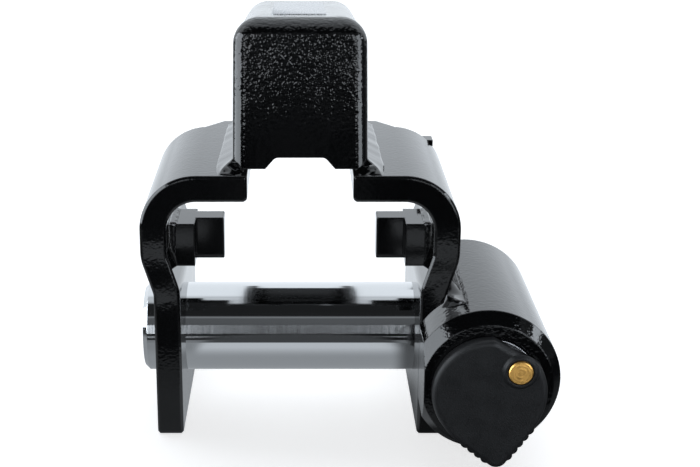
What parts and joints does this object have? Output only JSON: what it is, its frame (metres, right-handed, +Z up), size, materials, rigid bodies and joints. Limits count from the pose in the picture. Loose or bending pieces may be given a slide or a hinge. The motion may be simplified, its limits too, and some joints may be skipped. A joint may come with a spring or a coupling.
{
  "type": "trailer coupling lock",
  "caption": "Welded saddle with bent plate legs under a sloping hood, a sliding cross pin and a round keyed lock housing with a swivelling dust cap; secures a trailer coupling.",
  "frame": {"origin": "on the locking pin's axis, midway between the inner faces of the legs", "axes": "+X along the locking pin towards the lock housing, +Y to the rear along the hood, +Z up"},
  "size_m": [0.1276, 0.139, 0.1282],
  "materials": {
    "black_paint": "gloss black powder coat with orange peel",
    "ground_steel": "ground and polished bright steel",
    "barrel_metal": "turned, plain",
    "plug_brass": "turned, plain",
    "plain_steel": "plain",
    "seal_rubber": "moulded",
    "cap_rubber": "matt black, moulded",
    "rivet_brass": "turned, with tool rings"
  },
  "bodies": {
    "saddle": {"left_side_bracket": "black_paint", "right_side_bracket": "black_paint", "hood": "black_paint", "left_hood_weld": "black_paint", "right_hood_weld": "black_paint", "left_lug": "black_paint", "right_lug": "black_paint", "left_lug_weld": "black_paint", "right_lug_weld": "black_paint", "shoulder_tab": "black_paint", "lock_housing": "black_paint", "housing_weld": "black_paint", "lock_barrel": "barrel_metal", "barrel_seal": "seal_rubber", "barrel_retaining_pin": "plain_steel", "cap_rivet": "rivet_brass", "cap_washer": "plain_steel"},
    "pin": {"locking_pin": "ground_steel"},
    "plug": {"key_plug": "plug_brass", "anti_drill_disc": "plain_steel", "detainer_discs": "plug_brass", "disc_spacers": "plain_steel", "side_bar": "plain_steel", "bolt_disc": "plain_steel", "bolt_screw": "plain_steel"},
    "cap": {"dust_cap": "cap_rubber"}
  },
  "joints": [
    {"name": "locking_pin_slide", "type": "slide", "parent": "saddle", "child": "pin", "axis": [-1, 0, 0], "range_m": [0, 0.105]},
    {"name": "key_turn", "type": "hinge", "parent": "saddle", "child": "plug", "pos_m": [0.0552, -0.036, 0.0006], "axis": [0, 1, 0], "range_deg": [0, 90]},
    {"name": "dust_cap_swivel", "type": "hinge", "parent": "saddle", "child": "cap", "pos_m": [0.06385, -0.0528, 0.00731], "axis": [0, -1, 0], "range_deg": [0, 180]}
  ]
}
